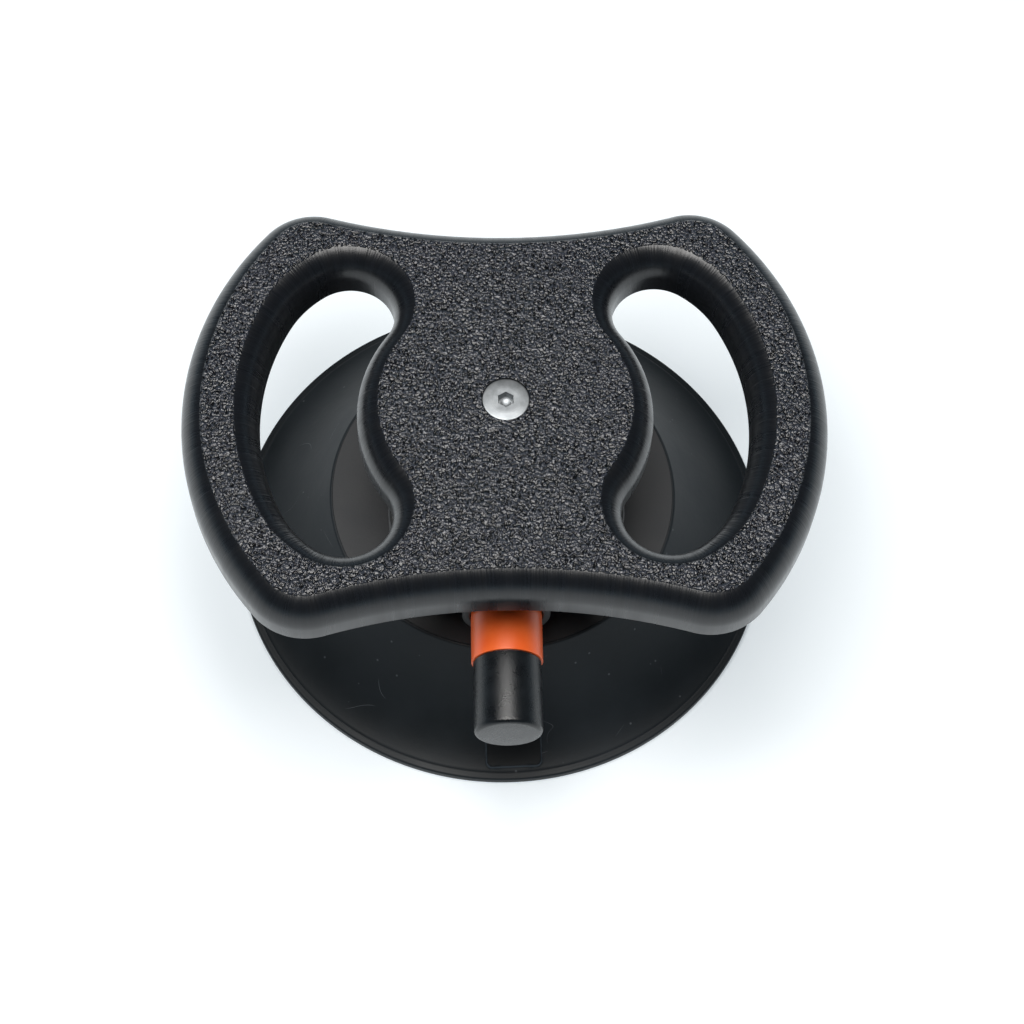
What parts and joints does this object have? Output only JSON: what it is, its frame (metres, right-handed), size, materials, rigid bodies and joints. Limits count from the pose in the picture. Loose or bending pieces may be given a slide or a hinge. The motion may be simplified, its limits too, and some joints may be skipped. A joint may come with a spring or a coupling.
{
  "type": "suction grab bar",
  "caption": "Vacuum suction grab bar: rounded square grab plate with hand holes, screwed to a block body with a hand pump plunger, above a large round rubber cup.",
  "frame": {"origin": "centre of the cup's rim, on the surface the cup grips", "axes": "+Z out of the gripped surface, up through the plate screw; -Y along the pump, towards the push cap; +X to the right across the two hand holes"},
  "size_m": [0.226, 0.2062, 0.1073],
  "materials": {
    "marine_board": "satin with a fine pebbled grain",
    "stainless_steel": "satin",
    "brass": "machined",
    "blackened_steel": "matte",
    "pump_housing": "matte",
    "base_disc": "matte",
    "cup_rubber": "matte",
    "aluminium": "satin",
    "felt": "matte",
    "nylon": "satin",
    "seal_rubber": "satin",
    "spring_steel": "satin",
    "collar_plastic": "satin",
    "cap_plastic": "gloss",
    "band_orange": "satin"
  },
  "bodies": {
    "housing": {"grab_plate": "marine_board", "plate_screw": "stainless_steel", "threaded_insert": "brass", "barrel_grub_screw": "blackened_steel", "pump_body": "pump_housing", "base_plate": "base_disc", "vacuum_cup": "cup_rubber", "clamp_disc": "aluminium", "clamp_screw_1": "stainless_steel", "clamp_screw_2": "stainless_steel", "clamp_screw_3": "stainless_steel", "clamp_screw_4": "stainless_steel", "inlet_filter": "felt", "inlet_valve_seat": "nylon", "inlet_valve_spring": "spring_steel", "base_oring": "seal_rubber", "pump_barrel": "aluminium", "barrel_collar": "collar_plastic", "plunger_wiper": "seal_rubber", "guide_bush": "nylon", "barrel_end_plug": "nylon", "end_plug_oring": "seal_rubber", "end_plug_circlip": "spring_steel", "plunger_spring": "spring_steel"},
    "plunger": {"push_cap": "cap_plastic", "plunger_tube": "aluminium", "indicator_band": "band_orange", "piston": "nylon", "piston_seal": "seal_rubber", "exhaust_valve_spring": "spring_steel", "exhaust_spring_retainer": "nylon"},
    "inlet_valve": {"inlet_valve_disc": "seal_rubber"},
    "exhaust_valve": {"exhaust_valve_disc": "seal_rubber"}
  },
  "joints": [
    {"name": "plunger_press", "type": "slide", "parent": "housing", "child": "plunger", "axis": [0, 1, 0], "range_m": [0, 0.04], "stiffness_N_per_m": 600, "springref_m": -0.02, "deforming": ["plunger_spring"]},
    {"name": "inlet_valve_lift", "type": "slide", "parent": "housing", "child": "inlet_valve", "axis": [0, 0, 1], "range_m": [0, 0.0012], "stiffness_N_per_m": 30, "springref_m": -0.001, "deforming": ["inlet_valve_spring"]},
    {"name": "exhaust_valve_lift", "type": "slide", "parent": "plunger", "child": "exhaust_valve", "axis": [0, -1, 0], "range_m": [0, 0.0012], "stiffness_N_per_m": 30, "springref_m": -0.001, "deforming": ["exhaust_valve_spring"]}
  ]
}
